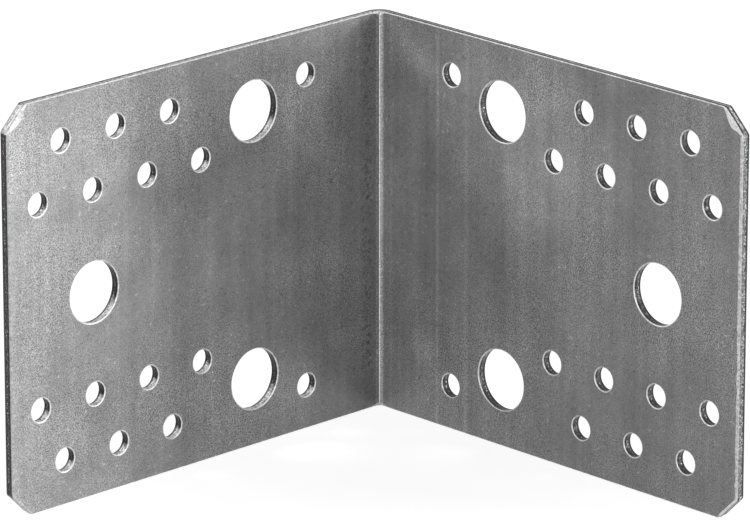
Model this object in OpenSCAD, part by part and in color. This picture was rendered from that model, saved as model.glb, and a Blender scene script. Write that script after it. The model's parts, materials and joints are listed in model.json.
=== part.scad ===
// Angle bracket for timber, punched and folded from one strip of galvanised sheet steel.
// Both legs stand on edge: the fold runs up along +Z, one leg lies along +X and the other along +Y.
// The origin is the heel, where the planes of the two outer faces meet the lower edge.
// All sizes are in millimetres.

/* [Sheet] */
// Length of the leg along X, from the outer face of the other leg to its free end
x_leg_length = 105; // [70:0.5:180]
// Length of the leg along Y, from the outer face of the other leg to its free end
y_leg_length = 105; // [70:0.5:180]
// Width of the strip, measured along the fold
strip_width = 86.5; // [74:0.5:140]
// Thickness of the sheet
sheet_thickness = 2; // [1.5:0.1:4]
// Radius on the inside of the fold
bend_radius = 1.25; // [0.5:0.05:4]
// Length of the cut across each free corner, measured along either edge
corner_cut = 5; // [1:0.5:9]

/* [Bolt holes] */
// Diameter of the bolt holes
bolt_hole_d = 13; // [9:0.5:14]
// From the outer heel to the two bolt holes beside the fold
heel_bolt_offset = 38; // [34:0.25:44]
// From each long edge to the centres of those two bolt holes
bolt_edge_margin = 14.3; // [11:0.1:18]
// From the free end to the bolt hole in the middle of the strip
end_bolt_offset = 22.75; // [16:0.25:28]

/* [Nail holes] */
// Diameter of the nail holes
nail_hole_d = 5; // [3:0.1:6]
// Distance between neighbouring nail holes in a row
nail_pitch = 14.75; // [10:0.25:20]
// From the outer heel to the pair of nail holes nearest the fold
heel_nail_offset = 23.25; // [16:0.25:25]
// From each long edge to the outer rows of nail holes
outer_row_margin = 9.5; // [7:0.1:11]
// From each long edge to the inner rows of nail holes
inner_row_margin = 21.6; // [19:0.1:23]
// From the free end to the last nail hole of each outer row
outer_row_end = 14.3; // [12:0.1:18]
// From the free end to the last nail hole of each inner row
inner_row_end = 8; // [6:0.25:10]
// Least metal between a heel bolt hole and the first nail hole beside it
least_web = 2; // [1:0.25:4]

/* [Hidden] */
$fn = 96;
// How far a cutter runs past the metal on each side
overrun = 1;
// Radius on the outside of the fold
heel_radius = bend_radius + sheet_thickness;
// Height of the line that each leg's pattern is mirrored about
strip_middle = strip_width / 2;
// No row of nail holes comes nearer to the heel than this
row_limit = heel_bolt_offset + (bolt_hole_d + nail_hole_d) / 2 + least_web;

// How many nail holes a row has, counted from the free end towards the fold
function row_count(leg_length, row_end) =
    floor((leg_length - row_end - row_limit) / nail_pitch) + 1;

// A plate from the heel to past both free ends, round at the heel only
module heel_plate(radius) {
    difference() {
        square([x_leg_length, y_leg_length]);
        difference() {
            square(radius);
            translate([radius, radius]) circle(radius);
        }
    }
}

// The sheet seen along the fold: two straight legs joined by the bend
module folded_profile() {
    difference() {
        heel_plate(heel_radius);
        translate([sheet_thickness, sheet_thickness]) heel_plate(bend_radius);
    }
}

// Repeats its children on the other side of the strip's middle line
module both_sides() {
    children();
    translate([0, 2 * strip_middle]) mirror([0, 1]) children();
}

// One row of nail holes, spaced from the free end towards the fold
module nail_row(leg_length, row_end, margin) {
    for (i = [0 : row_count(leg_length, row_end) - 1])
        translate([leg_length - row_end - i * nail_pitch, margin]) circle(d = nail_hole_d);
}

// The corner that is sheared off at the free end
module corner_waste(leg_length) {
    polygon([
        [leg_length - corner_cut - overrun, -overrun],
        [leg_length + overrun, -overrun],
        [leg_length + overrun, corner_cut + overrun]
    ]);
}

// Everything punched out of one leg, drawn flat: X runs from the heel to the free end, Y along the fold
module leg_punching(leg_length) {
    both_sides() {
        nail_row(leg_length, outer_row_end, outer_row_margin);
        nail_row(leg_length, inner_row_end, inner_row_margin);
        translate([heel_nail_offset, outer_row_margin]) circle(d = nail_hole_d);
        translate([heel_bolt_offset, bolt_edge_margin]) circle(d = bolt_hole_d);
        corner_waste(leg_length);
    }
    translate([leg_length - end_bolt_offset, strip_middle]) circle(d = bolt_hole_d);
}

// The same punching as a solid cutter that stands through the Y leg
module y_leg_cutter(leg_length) {
    rotate([90, 0, 90])
        translate([0, 0, -overrun])
            linear_extrude(sheet_thickness + 2 * overrun) leg_punching(leg_length);
}

// The cutter of the X leg is the mirror image of the Y leg's, across the plane that halves the angle
module x_leg_cutter(leg_length) {
    mirror([1, -1, 0]) y_leg_cutter(leg_length);
}

module angle_bracket() {
    color("silver")
        difference() {
            linear_extrude(strip_width) folded_profile();
            x_leg_cutter(x_leg_length);
            y_leg_cutter(y_leg_length);
        }
}

angle_bracket();
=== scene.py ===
"""Dresses the angle bracket: a punched and folded sheet with rolled, sheared and torn cut edges, in
galvanised steel, on a white floor under soft studio light. Lengths are in metres."""
import json
import math
from collections import namedtuple

import bpy
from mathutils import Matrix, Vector, geometry, noise


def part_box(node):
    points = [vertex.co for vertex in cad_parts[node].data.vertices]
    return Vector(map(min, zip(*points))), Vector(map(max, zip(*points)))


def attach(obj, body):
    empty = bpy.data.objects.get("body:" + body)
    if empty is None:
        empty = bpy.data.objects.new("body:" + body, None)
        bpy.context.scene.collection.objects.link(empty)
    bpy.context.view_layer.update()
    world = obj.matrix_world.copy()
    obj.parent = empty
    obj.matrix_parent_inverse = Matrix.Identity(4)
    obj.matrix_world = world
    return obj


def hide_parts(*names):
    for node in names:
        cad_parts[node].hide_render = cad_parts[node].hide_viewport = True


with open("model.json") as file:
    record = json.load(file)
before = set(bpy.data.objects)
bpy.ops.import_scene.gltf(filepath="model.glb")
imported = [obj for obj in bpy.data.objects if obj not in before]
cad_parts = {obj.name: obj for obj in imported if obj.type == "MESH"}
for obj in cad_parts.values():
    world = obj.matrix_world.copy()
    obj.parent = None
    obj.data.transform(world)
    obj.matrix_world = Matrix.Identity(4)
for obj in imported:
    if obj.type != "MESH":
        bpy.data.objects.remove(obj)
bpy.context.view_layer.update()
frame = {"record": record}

MM = 0.001

# Sizes of the sheet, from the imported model
NODE = "angle_bracket"
MOUNTS = {mount["name"]: mount for mount in frame["record"]["mounts"]}
LENGTH_X, LENGTH_Y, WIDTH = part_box(NODE)[1]
THICKNESS = MOUNTS["x_leg_inner_face"]["pos_m"][1]
BEND_RADIUS = 1.25 * MM
HEEL_RADIUS = BEND_RADIUS + THICKNESS
CORNER_CUT = 5 * MM
CORNER_ROUND = 1.2 * MM

# The sheet laid flat. s runs along the strip and is 0 where the X leg ends at the bend, v runs across it.
BEND_LENGTH = math.pi / 2 * (HEEL_RADIUS - THICKNESS / 2)
X_END = HEEL_RADIUS - LENGTH_X
Y_END = BEND_LENGTH + LENGTH_Y - HEEL_RADIUS

# Width of the rolled rim, where the inner face turns down into a cut
HOLE_ROLL = 0.28 * MM
LONG_EDGE_ROLL = 0.22 * MM
END_ROLL = 0.75 * MM
CORNER_ROLL = 1.60 * MM
FOLD_ROLL = 0.90 * MM
FOLD_ROLL_REACH = 1.8 * MM
ROLL_WANDER = 0.30
ROLL_WANDER_LENGTH = 1.6 * MM
# Its depth: a least depth and a share of the width
ROLL_LEAST_DEPTH = 0.12 * MM
ROLL_SLOPE = 0.12
# Its section from the face to the cut: band, and shares of the width and of the depth
SKIN = "skin"
ROLL_SECTION = [
    (SKIN, 1.0, 0.0), (SKIN, 0.9, 0.05), ("rolled", 0.4, 0.40), ("rolled", 0.12, 0.70), ("rolled", 0.0, 1.0)]

# Where a cut edge changes, as depths from the inner face, the side that the punch came from
SHEARED_TO = 0.80 * MM
TORN_TO = 1.48 * MM
TEAR_SLOPE = 0.10 * MM
BURR_BREAK = 0.05 * MM
TEAR_ROUGHNESS = 0.035 * MM
TEAR_GRAIN = 0.45 * MM

# Fineness of the mesh
SHEAR_STEPS = 2
TEAR_STEPS = 5
BEND_STEPS = 14
CORNER_STEPS = 5
RIM_STEP = 0.30 * MM
EDGE_STEP = 0.45 * MM
BEND_ROW_STEP = 2.5 * MM
SAME_PLACE = 0.0001 * MM

# Galvanised skin: its grey, how much of it is bare metal, its gloss, and the share by which each pattern
# varies the grey
ZINC_GREY = 0.27
ZINC_METAL = 0.25
ZINC_GLOSS = 0.3
GRAIN_LEAST = 0.30
GRAIN_MOST = 0.80
SPECKLE = 0.07
STREAKS = 0.10
BANDS = 0.07
CLOUDS = 0.16
PITS = -0.30
FLECKS = 0.40

# Lines that run up the bracket. The first four, in and beside the fold, are painted shade and painted highlights along
# the bend: a dark line, a bright line and two pale bands. The last two are lines left on the Y leg by the rolls. Place
# across the fold, half width and change of the grey
PAINTED_FOLD_LIGHT_AND_ROLL_LINES = [
    (-0.38 * MM, 0.30 * MM, -0.65),
    (0.02 * MM, 0.22 * MM, 3.20),
    (0.80 * MM, 0.75 * MM, 0.60),
    (3.40 * MM, 0.60 * MM, 0.12),
    (17.2 * MM, 0.80 * MM, 0.32),
    (25.6 * MM, 1.10 * MM, 0.22),
]
# Dark specks that the bending punch pressed into the X leg beside the fold: place across the fold, half width
# and change of the grey
SPECKS = (-3.6 * MM, 3.0 * MM, -0.65)
# Soft patches of painted light and painted shade, where the skin is painted paler or darker in place of lamp light;
# the two of radius 6 mm by the fold are simply painted paler. Centre, radius and change of the grey
PAINTED_LIGHT_SHADE_AND_PALE_PATCHES = [
    (Vector((2, 15.5, 16)) * MM, 6 * MM, 0.35),
    (Vector((2, 16, 77.5)) * MM, 6 * MM, 0.30),
    (Vector((2, 46, 66)) * MM, 32 * MM, 0.50),
    (Vector((2, 27, 84)) * MM, 16 * MM, 0.14),
    (Vector((2, 84, 6)) * MM, 50 * MM, -0.18),
    (Vector((100, 2, 52)) * MM, 40 * MM, 0.28),
    (Vector((98, 2, 76)) * MM, 30 * MM, 0.30),
    (Vector((102, 2, 6)) * MM, 34 * MM, 0.32),
    (Vector((42, 2, 84)) * MM, 34 * MM, -0.20),
    (Vector((24, 2, 3)) * MM, 20 * MM, -0.18),
]
# Painted highlight along the free ends: the skin is painted paler towards them
END_HIGHLIGHT = 2.5 * MM
END_HIGHLIGHT_CHANGE = 0.15

# Greys of the bands of each kind of cut, on the X leg and on the Y leg. The two legs' greys are lit and shaded
# copies, painted light and painted shade for the way each leg faces the lamps, and the pale greys of the rolled
# bands are painted highlights along the rims. A hole has others where its wall faces up, at its lowest part, painted
# light on the X leg and painted shade on the Y leg, and where it faces down, at its highest, a painted reflection of
# the white floor.
CUT_GREYS_WITH_PAINTED_LIGHT = {
    "hole": {"rolled": (0.75, 0.90), "smooth": (0.02, 0.05), "torn": (0.03, 0.08), "burr": (0.02, 0.03)},
    "hole_low_painted_light": {"rolled": (0.88, 0.88), "smooth": (0.50, 0.02), "torn": (0.60, 0.03), "burr": (0.15, 0.02)},
    "hole_high_painted_reflection": {"rolled": (0.75, 0.75), "smooth": (0.48, 0.40), "torn": (0.32, 0.24), "burr": (0.05, 0.05)},
    "side": {"rolled": (0.60, 0.65), "smooth": (0.45, 0.02), "torn": (0.42, 0.28), "burr": (0.02, 0.02)},
    "end": {"rolled": (0.42, 0.66), "smooth": (0.05, 0.17), "torn": (0.06, 0.15), "burr": (0.05, 0.03)},
    "corner": {"rolled": (0.54, 0.90), "smooth": (0.72, 0.05), "torn": (0.70, 0.34), "burr": (0.45, 0.04)},
}
# The painted light and shade of a hole's lowest part and the painted reflection of its highest part begin at this
# share of its radius below and above its centre, and reach their own grey over the blend
HOLE_PAINTED_LIGHT_FROM = 0.35
HOLE_PAINTED_REFLECTION_FROM = 0.55
HOLE_PAINTED_LIGHT_BLEND = 0.35
# The cuts change from the X leg's greys to the Y leg's, and so from one leg's painted light and shade to the other's,
# over this distance on both sides of the fold
LEG_PAINTED_LIGHT_BLEND = 3 * MM
# Finish of each band: share by which the grains vary the grey, how many times paler its painted glints are, share of
# bare metal, roughness, size of the grains and depth of their relief
CUT_FINISHES = {
    "rolled": (0.30, 1.0, 0.2, 0.38, 0.6 * MM, 0.02 * MM),
    "smooth": (0.65, 3.0, 0.1, 0.36, 0.6 * MM, 0.02 * MM),
    "torn": (0.98, 9.0, 0.1, 0.42, 0.55 * MM, 0.08 * MM),
    "burr": (0.40, 1.0, 0.1, 0.40, 0.5 * MM, 0.02 * MM),
}
CUT_GLOSS = 0.12

# Material slots of the bracket's mesh, and the name under which it keeps the grey of each face of a cut
SLOTS = [SKIN, *CUT_FINISHES]
CUT_GREY = "cut_grey"

# Camera at the photograph's angle, through a long lens
CAMERA_AZIMUTH = 135.83
CAMERA_ELEVATION = 17.82
CAMERA_DISTANCE = 1.421
CAMERA_AIM = Vector((0.03027, 0.02973, 0.04354))
CAMERA_LENS = 334.5

# Softboxes round the bracket: azimuth, elevation, distance, width, height and watts
LAMP_AIM = Vector((0.035, 0.035, WIDTH / 2))
LAMPS = {
    "front_left": (110, 8, 0.9, 0.20, 0.30, 3.4),
    "front_right": (188, 8, 0.9, 0.35, 0.30, 2.5),
    "past_the_end": (215, 8, 0.9, 0.23, 0.33, 5.8),
    "high_left": (24, 42, 0.9, 0.30, 0.30, 3.4),
    "high_right": (248, 42, 0.9, 0.30, 0.30, 1.3),
}
FLOOR_SIZE = 6.0
FLOOR_GREY = 0.4
FLOOR_GLOW = 0.86

RimPoint = namedtuple("RimPoint", "flat inward roll greys")
ProfileRow = namedtuple("ProfileRow", "roll_width roll_depth inset depth band ragged")


def folded(s, v, depth):
    """The place of a point of the flat strip once it is folded. depth is measured from the inner face."""
    height = THICKNESS - depth
    if s < 0:
        return Vector((HEEL_RADIUS - s, height, v))
    if s > BEND_LENGTH:
        return Vector((height, HEEL_RADIUS + s - BEND_LENGTH, v))
    turn = s / BEND_LENGTH * math.pi / 2
    radius = HEEL_RADIUS - height
    return Vector((HEEL_RADIUS - radius * math.sin(turn), HEEL_RADIUS - radius * math.cos(turn), v))


def roll_depth(width):
    return ROLL_LEAST_DEPTH + ROLL_SLOPE * width


def edge_profile():
    """The section of a cut edge, from the inner face to the outer. A row stands back from the cut by a share of
    the roll's width and by an inset. It lies at a share of the way from the face to the roll's depth, and deeper
    by a share of the way from there to a depth. band is the band that ends there."""
    rows = [ProfileRow(width, depth, 0.0, 0.0, band, 0.0) for band, width, depth in ROLL_SECTION]
    for i in range(1, SHEAR_STEPS + 1):
        left = 1 - i / SHEAR_STEPS
        rows.append(ProfileRow(0.0, left, 0.0, SHEARED_TO * (1 - left), "smooth", 0.0))
    for i in range(1, TEAR_STEPS + 1):
        share = i / TEAR_STEPS
        depth = SHEARED_TO + (TORN_TO - SHEARED_TO) * share
        rows.append(ProfileRow(0.0, 0.0, TEAR_SLOPE * share, depth, "torn", 1.0))
    rows.append(ProfileRow(0.0, 0.0, TEAR_SLOPE, THICKNESS - BURR_BREAK, "burr", 0.5))
    rows.append(ProfileRow(0.0, 0.0, TEAR_SLOPE + BURR_BREAK, THICKNESS, "burr", 0.0))
    return rows


def hole_centres(mount):
    """Centres of a mount's holes, each as (distance along the leg, height)."""
    along_leg = 0 if abs(mount["axis"][1]) > 0.5 else 1
    u, v = mount["pos_m"][along_leg], mount["pos_m"][2]
    dims = mount["dims"]
    half_u = dims.get("spacing_x_mm", 0) * MM / 2
    half_v = dims.get("spacing_y_mm", 0) * MM / 2
    us = [u - half_u, u + half_u] if half_u else [u]
    vs = [v - half_v, v + half_v] if half_v else [v]
    return along_leg, [(a, b) for a in us for b in vs]


def all_holes():
    """Every hole of the flat strip as (s, v, radius)."""
    holes = []
    for mount in MOUNTS.values():
        if mount["kind"] not in ("bore", "bolt_pattern"):
            continue
        radius = mount["dims"].get("r_mm", mount["dims"].get("hole_r_mm")) * MM
        along_leg, centres = hole_centres(mount)
        for u, v in centres:
            s = HEEL_RADIUS - u if along_leg == 0 else BEND_LENGTH + u - HEEL_RADIUS
            holes.append((s, v, radius))
    return holes


def share_past(value, start, reach):
    """0 up to start, then rising to 1 over the reach."""
    return min(max((value - start) / reach, 0.0), 1.0)


def mixed(greys, others, share):
    """The greys moved towards the others by a share."""
    return {band: grey + (others[band] - grey) * share for band, grey in greys.items()}


def greys_with_painted_leg_light(kind, s):
    """The greys of one kind of cut at a place along the strip, with the painted light and shade of its leg."""
    share = share_past(s - BEND_LENGTH / 2, -LEG_PAINTED_LIGHT_BLEND, 2 * LEG_PAINTED_LIGHT_BLEND)
    return {band: x_grey + (y_grey - x_grey) * share for band, (x_grey, y_grey) in CUT_GREYS_WITH_PAINTED_LIGHT[kind].items()}


def hole_greys_with_painted_light(s, out):
    """The greys of a hole's wall in one direction from its centre, with painted light and shade where it faces up and
    a painted reflection of the floor where it faces down.
    """
    greys = greys_with_painted_leg_light("hole", s)
    greys = mixed(greys, greys_with_painted_leg_light("hole_low_painted_light", s), share_past(-out.y, HOLE_PAINTED_LIGHT_FROM, HOLE_PAINTED_LIGHT_BLEND))
    return mixed(greys, greys_with_painted_leg_light("hole_high_painted_reflection", s), share_past(out.y, HOLE_PAINTED_REFLECTION_FROM, HOLE_PAINTED_LIGHT_BLEND))


def hole_loop(s, v, radius):
    """The rim of a hole."""
    count = max(24, round(2 * math.pi * radius / RIM_STEP))
    loop = []
    for i in range(count):
        turn = 2 * math.pi * i / count
        out = Vector((math.cos(turn), math.sin(turn)))
        loop.append(RimPoint(Vector((s, v)) + out * radius, out, HOLE_ROLL, hole_greys_with_painted_light(s, out)))
    return loop


def straight(start, end, step):
    """Points from start up to, and not with, end."""
    count = max(1, round((end - start).length / step))
    return [start.lerp(end, i / count) for i in range(count)]


def outline_corners():
    """Corners of the flat outline, anticlockwise."""
    cut = CORNER_CUT
    return [
        Vector((X_END + cut, 0)), Vector((Y_END - cut, 0)), Vector((Y_END, cut)), Vector((Y_END, WIDTH - cut)),
        Vector((Y_END - cut, WIDTH)), Vector((X_END + cut, WIDTH)), Vector((X_END, WIDTH - cut)), Vector((X_END, cut)),
    ]


def long_edge(start, end):
    """Points of a long edge, which passes over the bend in even steps."""
    bend = [Vector((BEND_LENGTH * i / BEND_STEPS, start.y)) for i in range(BEND_STEPS + 1)]
    if start.x > end.x:
        bend.reverse()
    return straight(start, bend[0], EDGE_STEP) + bend[:-1] + straight(bend[-1], end, EDGE_STEP)


def roll_width(flat, inward, bulge):
    """Width of the rolled rim at a point of the outline. It is wider at the ends, over the fold, and by bulge
    along a corner cut, and it wanders a little."""
    width = LONG_EDGE_ROLL + (END_ROLL - LONG_EDGE_ROLL) * abs(inward.x)
    width += (CORNER_ROLL - width) * bulge
    from_fold = (flat.x - BEND_LENGTH / 2) / FOLD_ROLL_REACH
    width += (FOLD_ROLL - LONG_EDGE_ROLL) * math.exp(-from_fold ** 2)
    return width * (1 + ROLL_WANDER * noise.noise(folded(flat.x, flat.y, 0) / ROLL_WANDER_LENGTH))


def edge_kind(out):
    """The kind of cut that an edge of the outline is, from the direction that it faces."""
    if abs(out.x) < 0.1:
        return "side"
    return "end" if abs(out.y) < 0.1 else "corner"


def outline_loop():
    """The outline of the strip, with its corners rounded a little."""
    corners = outline_corners()
    count = len(corners)
    loop = []
    for i, corner in enumerate(corners):
        before = (corners[i - 1] - corner).normalized()
        after = (corners[(i + 1) % count] - corner).normalized()
        half_angle = before.angle(after) / 2
        reach = CORNER_ROUND / math.tan(half_angle)
        centre = corner + (before + after).normalized() * CORNER_ROUND / math.sin(half_angle)
        start_out = (corner + before * reach - centre).normalized()
        end_out = (corner + after * reach - centre).normalized()
        for k in range(CORNER_STEPS):
            out = start_out.slerp(end_out, k / CORNER_STEPS)
            flat = centre + out * CORNER_ROUND
            greys = greys_with_painted_leg_light(edge_kind(start_out), flat.x)
            loop.append(RimPoint(flat, -out, roll_width(flat, -out, 0.0), greys))
        start = corner + after * reach
        following = corners[(i + 1) % count]
        next_after = (corners[(i + 2) % count] - following).normalized()
        next_half = (-after).angle(next_after) / 2
        end = following - after * CORNER_ROUND / math.tan(next_half)
        kind = edge_kind(end_out)
        points = long_edge(start, end) if kind == "side" else straight(start, end, EDGE_STEP)
        for k, flat in enumerate(points):
            is_upper_corner = kind == "corner" and flat.y > WIDTH / 2
            bulge = math.sin(math.pi * k / len(points)) if is_upper_corner else 0.0
            loop.append(RimPoint(flat, -end_out, roll_width(flat, -end_out, bulge), greys_with_painted_leg_light(kind, flat.x)))
    return loop


def ragged_shift(place, amount):
    """How far a point of a torn band stands back from the cut."""
    fine = noise.noise(place / TEAR_GRAIN)
    coarse = noise.noise(place / (3 * TEAR_GRAIN))
    return max(0.0, amount * TEAR_ROUGHNESS * (1 + fine + 0.6 * coarse))


class SheetMesh:
    """Collects the bracket's points and faces, with the material slot, smoothness and grey of each face."""

    def __init__(self):
        self.verts, self.faces, self.slots, self.smooth, self.greys = [], [], [], [], []

    def add_point(self, flat, depth):
        self.verts.append(folded(flat.x, flat.y, depth))
        return len(self.verts) - 1

    def add_face(self, face, slot, is_smooth, is_turned, grey=0.0):
        self.faces.append(face[::-1] if is_turned else face)
        self.slots.append(slot)
        self.smooth.append(is_smooth)
        self.greys.append(grey)

    def add_cut_edge(self, loop, profile, is_hole):
        """Adds the bands of one cut edge. Returns the numbers of the points of its first and last rows."""
        rows = []
        for row in profile:
            numbers = []
            for point in loop:
                depth = row.roll_depth * roll_depth(point.roll) + row.depth
                shift = row.roll_width * point.roll + row.inset
                shift += ragged_shift(folded(point.flat.x, point.flat.y, depth), row.ragged)
                numbers.append(self.add_point(point.flat + point.inward * shift, depth))
            rows.append(numbers)
        count = len(loop)
        for row, upper, lower in zip(profile[1:], rows, rows[1:]):
            for i in range(count):
                j = (i + 1) % count
                grey = loop[i].greys.get(row.band, 0.0)
                self.add_face((upper[i], upper[j], lower[j], lower[i]), row.band, True, not is_hole, grey)
        return rows[0], rows[-1]

    def add_side(self, loops, depth, hole_inset, is_inner):
        """Fills one side of the sheet between its cut edges, with rows of points along the bend. loops holds
        (flat point, number) pairs, and the first loop is the outline."""
        points, numbers, edges = [], [], []
        for loop in loops:
            first = len(points)
            points.extend(flat for flat, _ in loop)
            numbers.extend(number for _, number in loop)
            edges.extend((first + i, first + (i + 1) % len(loop)) for i in range(len(loop)))
        where = {(round(p.x / MM, 4), round(p.y / MM, 4)): i for i, p in enumerate(points)}
        for k in range(BEND_STEPS + 1):
            s = BEND_LENGTH * k / BEND_STEPS
            ends = [flat.y for flat, _ in loops[0] if abs(flat.x - s) < SAME_PLACE]
            low, high = min(ends), max(ends)
            count = round((high - low) / BEND_ROW_STEP)
            line = []
            for i in range(count + 1):
                flat = Vector((s, low + (high - low) * i / count))
                key = (round(flat.x / MM, 4), round(flat.y / MM, 4))
                if key not in where:
                    where[key] = len(points)
                    points.append(flat)
                    numbers.append(self.add_point(flat, depth))
                line.append(where[key])
            edges.extend(zip(line, line[1:]))
        made = geometry.delaunay_2d_cdt([p / MM for p in points], edges, [], 1, 1e-6)
        places, triangles, sources = made[0], made[2], made[3]
        holes = all_holes()
        for triangle in triangles:
            middle = sum((places[i] for i in triangle), Vector((0, 0))) * MM / 3
            if any((middle - Vector((s, v))).length < radius + hole_inset for s, v, radius in holes):
                continue
            face = tuple(numbers[sources[i][0]] for i in triangle)
            is_bent = 0 < middle.x < BEND_LENGTH
            self.add_face(face, SKIN, is_bent, not is_inner)


def make_sheet():
    """The bracket as one closed mesh."""
    profile = edge_profile()
    sheet = SheetMesh()
    inner_loops, outer_loops = [], []
    outer_inset = profile[-1].inset
    loops = [(outline_loop(), False)] + [(hole_loop(*hole), True) for hole in all_holes()]
    for loop, is_hole in loops:
        first, last = sheet.add_cut_edge(loop, profile, is_hole)
        inner_loops.append([(p.flat + p.inward * p.roll, number) for p, number in zip(loop, first)])
        outer_loops.append([(p.flat + p.inward * outer_inset, number) for p, number in zip(loop, last)])
    sheet.add_side(inner_loops, 0.0, HOLE_ROLL, True)
    sheet.add_side(outer_loops, THICKNESS, outer_inset, False)

    mesh = bpy.data.meshes.new("bracket_sheet")
    mesh.from_pydata([tuple(v) for v in sheet.verts], [], sheet.faces)
    mesh.materials.append(zinc_material())
    for band in CUT_FINISHES:
        mesh.materials.append(cut_material(band))
    mesh.attributes.new(CUT_GREY, "FLOAT", "FACE").data.foreach_set("value", sheet.greys)
    for polygon, slot, is_smooth in zip(mesh.polygons, sheet.slots, sheet.smooth):
        polygon.material_index = SLOTS.index(slot)
        polygon.use_smooth = is_smooth
    mesh.validate()
    mesh.update()
    bracket = bpy.data.objects.new("bracket_sheet", mesh)
    bpy.context.scene.collection.objects.link(bracket)
    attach(bracket, "root")
    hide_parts(NODE)


class Nodes:
    """Short calls for building one node tree."""

    def __init__(self, tree):
        self.tree = tree
        tree.nodes.clear()

    def add(self, kind, values=None, **settings):
        node = self.tree.nodes.new("ShaderNode" + kind)
        for key, value in settings.items():
            setattr(node, key, value)
        for key, value in (values or {}).items():
            if isinstance(value, bpy.types.NodeSocket):
                self.tree.links.new(value, node.inputs[key])
            else:
                node.inputs[key].default_value = value
        return node

    def place(self):
        """Object coordinates, in metres."""
        return self.add("TexCoord").outputs["Object"]

    def stretched(self, scale):
        """Object coordinates with a scale for each axis."""
        return self.add("Mapping", {"Vector": self.place(), "Scale": scale}).outputs["Vector"]

    def noise(self, vector, size, detail=2.0, roughness=0.5):
        """Noise whose largest grains have about the given size."""
        values = {"Vector": vector, "Scale": 1 / size, "Detail": detail, "Roughness": roughness}
        return self.add("TexNoise", values).outputs["Fac"]

    def remap(self, value, low, high, to_low, to_high, kind="LINEAR"):
        values = {"Value": value, "From Min": low, "From Max": high, "To Min": to_low, "To Max": to_high}
        return self.add("MapRange", values, interpolation_type=kind).outputs["Result"]

    def math(self, operation, first, second=0.0):
        return self.add("Math", {0: first, 1: second}, operation=operation).outputs["Value"]

    def grey(self, value):
        return self.add("CombineColor", {"Red": value, "Green": value, "Blue": value}).outputs["Color"]

    def varied(self, tone, value, change):
        """The tone made darker and lighter, by up to the share in change, as a noise goes through its range."""
        return self.math("MULTIPLY", tone, self.remap(value, 0.3, 0.7, 1 - change, 1 + change))

    def marked(self, tone, mark, change):
        """The tone changed by the share in change where mark is 1."""
        return self.math("MULTIPLY", tone, self.remap(mark, 0.0, 1.0, 1.0, 1.0 + change))

    def ridge(self, value, centre, half_width):
        """1 where the value is at the centre, falling softly to 0 at half_width on both sides."""
        away = self.math("ABSOLUTE", self.math("SUBTRACT", value, centre))
        return self.remap(away, 0.0, half_width, 1.0, 0.0, "SMOOTHSTEP")

    def patch(self, centre, radius):
        """1 at the centre of a soft round patch, falling to 0 at its radius."""
        away = self.add("VectorMath", {0: self.place(), 1: centre}, operation="DISTANCE").outputs["Value"]
        return self.remap(away, 0.0, radius, 1.0, 0.0, "SMOOTHSTEP")

    def x_and_y(self):
        parts = self.add("SeparateXYZ", {0: self.place()}).outputs
        return parts["X"], parts["Y"]


def new_material(name):
    material = bpy.data.materials.new(name)
    material.use_nodes = True
    return material, Nodes(material.node_tree)


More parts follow.
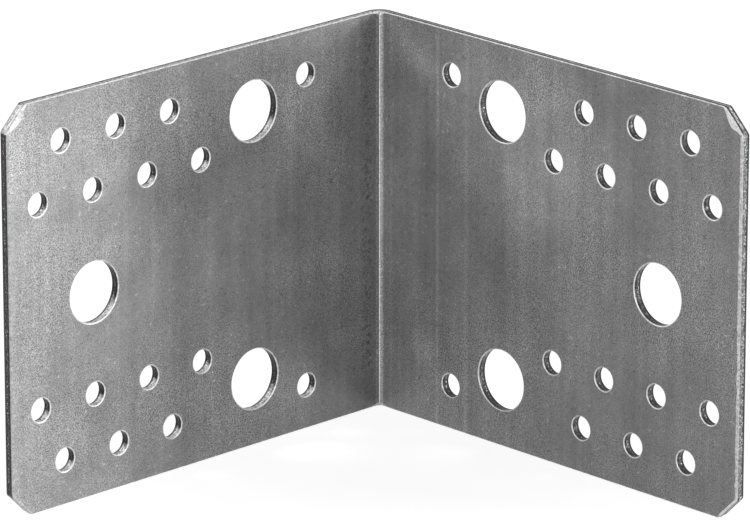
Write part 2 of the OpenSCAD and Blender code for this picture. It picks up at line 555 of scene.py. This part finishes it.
def zinc_material():
    """Galvanised skin: dull grey with a fine grain, rolling streaks along the fold, cloudy patches, pits and
    flecks, painted shade and painted highlights along the fold, lines of the rolls, soft patches of painted light and
    painted shade, and a painted highlight towards the free ends."""
    material, n = new_material("zinc_skin")
    even = n.place()
    upright = n.stretched((1.0, 1.0, 0.04))
    grain = n.noise(even, 0.28 * MM, 2.0, 0.6)
    streaks = n.noise(upright, 2.4 * MM, 3.0, 0.6)
    clouds = n.noise(even, 14 * MM, 5.0, 0.62)
    spots = n.noise(even, 0.9 * MM, 1.0, 0.5)
    grain_share = n.remap(n.noise(even, 28 * MM, 1.0, 0.5), 0.35, 0.65, GRAIN_LEAST, GRAIN_MOST)
    tone = n.math("ADD", 1.0, n.math("MULTIPLY", grain_share, n.remap(grain, 0.3, 0.7, -1.0, 1.0)))
    tone = n.varied(tone, n.noise(even, 1.2 * MM, 3.0, 0.6), SPECKLE)
    tone = n.varied(tone, streaks, STREAKS)
    tone = n.varied(tone, n.noise(upright, 9 * MM, 1.0, 0.4), BANDS)
    tone = n.varied(tone, clouds, CLOUDS)
    tone = n.marked(tone, n.remap(spots, 0.68, 0.74, 0.0, 1.0), PITS)
    tone = n.marked(tone, n.remap(spots, 0.32, 0.26, 0.0, 1.0), FLECKS)

    x, y = n.x_and_y()
    across = n.math("SUBTRACT", y, x)
    is_inside = n.remap(n.math("MINIMUM", x, y), THICKNESS / 2, THICKNESS, 0.0, 1.0)
    # Painted shade and painted highlights along the bend, and the lines of the rolls
    for centre, half_width, change in PAINTED_FOLD_LIGHT_AND_ROLL_LINES:
        tone = n.marked(tone, n.math("MULTIPLY", n.ridge(across, centre, half_width), is_inside), change)
    centre, half_width, change = SPECKS
    pressed = n.math("MULTIPLY", n.ridge(across, centre, half_width), is_inside)
    pressed = n.math("MULTIPLY", pressed, n.remap(clouds, 0.40, 0.55, 0.4, 1.0))
    specks = n.remap(n.noise(even, 1.1 * MM, 4.0, 0.75), 0.50, 0.60, 0.0, 1.0)
    tone = n.marked(tone, n.math("MULTIPLY", pressed, specks), change)
    # Patches of painted light and painted shade, and two small pale patches
    for centre, radius, change in PAINTED_LIGHT_SHADE_AND_PALE_PATCHES:
        tone = n.marked(tone, n.patch(centre, radius), change)
    # Painted highlight: the skin is painted paler towards the free ends
    from_heel = n.math("MAXIMUM", x, y)
    tone = n.marked(tone, n.remap(from_heel, LENGTH_X - END_HIGHLIGHT, LENGTH_X, 0.0, 1.0), END_HIGHLIGHT_CHANGE)

    relief = n.math("ADD", grain, streaks)
    bump = n.add("Bump", {"Strength": 0.25, "Distance": 0.03 * MM, "Height": relief})
    shader = n.add("BsdfPrincipled", {
        "Base Color": n.grey(n.math("MULTIPLY", tone, ZINC_GREY)), "Metallic": ZINC_METAL,
        "Specular IOR Level": ZINC_GLOSS, "Roughness": n.remap(clouds, 0.3, 0.7, 0.38, 0.46),
        "Normal": bump.outputs["Normal"]})
    n.add("OutputMaterial", {"Surface": shader.outputs["BSDF"]})
    return material


def cut_material(band):
    """Metal of one band of the cut edges, in the grey that each face keeps, which holds painted light and shade, with
    sparse painted glints.
    """
    change, painted_glint_gain, metal, roughness, grain_size, grain_depth = CUT_FINISHES[band]
    material, n = new_material(f"{band}_cut")
    grain = n.noise(n.place(), grain_size, 3.0, 0.65)
    grey = n.add("Attribute", attribute_name=CUT_GREY).outputs["Fac"]
    tone = n.math("MULTIPLY", grey, n.remap(grain, 0.35, 0.65, 1 - change, 1 + change))
    # Painted glints: sparse specks painted paler, standing in for facets that catch the light
    painted_glint_noise = n.noise(n.place(), 0.6 * grain_size, 1.0, 0.5)
    tone = n.math("MULTIPLY", tone, n.remap(painted_glint_noise, 0.60, 0.68, 1.0, painted_glint_gain))
    bump = n.add("Bump", {"Strength": 0.6, "Distance": grain_depth, "Height": grain})
    shader = n.add("BsdfPrincipled", {
        "Base Color": n.grey(n.math("MINIMUM", tone, 0.9)), "Metallic": metal,
        "Specular IOR Level": CUT_GLOSS, "Roughness": roughness, "Normal": bump.outputs["Normal"]})
    n.add("OutputMaterial", {"Surface": shader.outputs["BSDF"]})
    return material


def seen_white(n):
    """1 for the rays that show the background: from the camera, or by way of metal or glass."""
    path = n.add("LightPath").outputs
    return n.math("MAXIMUM", n.math("MAXIMUM", path["Is Camera Ray"], path["Is Glossy Ray"]),
                  path["Is Transmission Ray"])


def make_floor():
    """A white floor that keeps the bracket's shadow."""
    mesh = bpy.data.meshes.new("floor")
    half = FLOOR_SIZE / 2
    mesh.from_pydata([(-half, -half, 0), (half, -half, 0), (half, half, 0), (-half, half, 0)], [], [(0, 1, 2, 3)])
    floor = bpy.data.objects.new("floor", mesh)
    bpy.context.scene.collection.objects.link(floor)
    material, n = new_material("white_floor")
    matt = n.add("BsdfDiffuse", {"Color": (FLOOR_GREY, FLOOR_GREY, FLOOR_GREY, 1.0)})
    glow = n.add("Emission", {"Strength": n.math("MULTIPLY", seen_white(n), FLOOR_GLOW)})
    both = n.add("AddShader", {0: matt.outputs["BSDF"], 1: glow.outputs["Emission"]})
    n.add("OutputMaterial", {"Surface": both.outputs["Shader"]})
    mesh.materials.append(material)


def make_surround():
    """A white surround, which is seen and mirrored but doesn't light the bracket."""
    world = bpy.data.worlds.new("studio")
    bpy.context.scene.world = world
    world.use_nodes = True
    n = Nodes(world.node_tree)
    surround = n.add("Background", {"Color": (1.0, 1.0, 1.0, 1.0), "Strength": seen_white(n)})
    n.add("OutputWorld", {"Surface": surround.outputs["Background"]})


def back_vector(azimuth, elevation):
    """The direction from the bracket to a camera or lamp. Azimuth 0 looks along +Y."""
    a, e = math.radians(azimuth), math.radians(elevation)
    return Vector((math.sin(a) * math.cos(e), -math.cos(a) * math.cos(e), math.sin(e)))


def place_looking(name, data, aim, azimuth, elevation, distance):
    """Adds a camera or lamp that looks at aim from the given direction and distance."""
    back = back_vector(azimuth, elevation)
    thing = bpy.data.objects.new(name, data)
    thing.location = aim + back * distance
    thing.rotation_mode = "QUATERNION"
    thing.rotation_quaternion = back.to_track_quat("Z", "Y")
    bpy.context.scene.collection.objects.link(thing)
    return thing


def make_softbox(name, azimuth, elevation, distance, width, height, watts):
    lamp = bpy.data.lights.new(name, "AREA")
    lamp.shape = "RECTANGLE"
    lamp.size = width
    lamp.size_y = height
    lamp.energy = watts
    place_looking(name, lamp, LAMP_AIM, azimuth, elevation, distance)


def make_camera():
    """The photograph's angle through a long lens without shift."""
    lens = bpy.data.cameras.new("camera")
    lens.sensor_width = 36.0
    lens.lens = CAMERA_LENS
    lens.clip_start = 0.05
    lens.clip_end = 30.0
    bpy.context.scene.camera = place_looking(
        "camera", lens, CAMERA_AIM, CAMERA_AZIMUTH, CAMERA_ELEVATION, CAMERA_DISTANCE)


make_camera()
make_surround()
make_floor()
for lamp_name, setting in LAMPS.items():
    make_softbox(lamp_name, *setting)
make_sheet()
bpy.context.scene.view_settings.view_transform = "Standard"
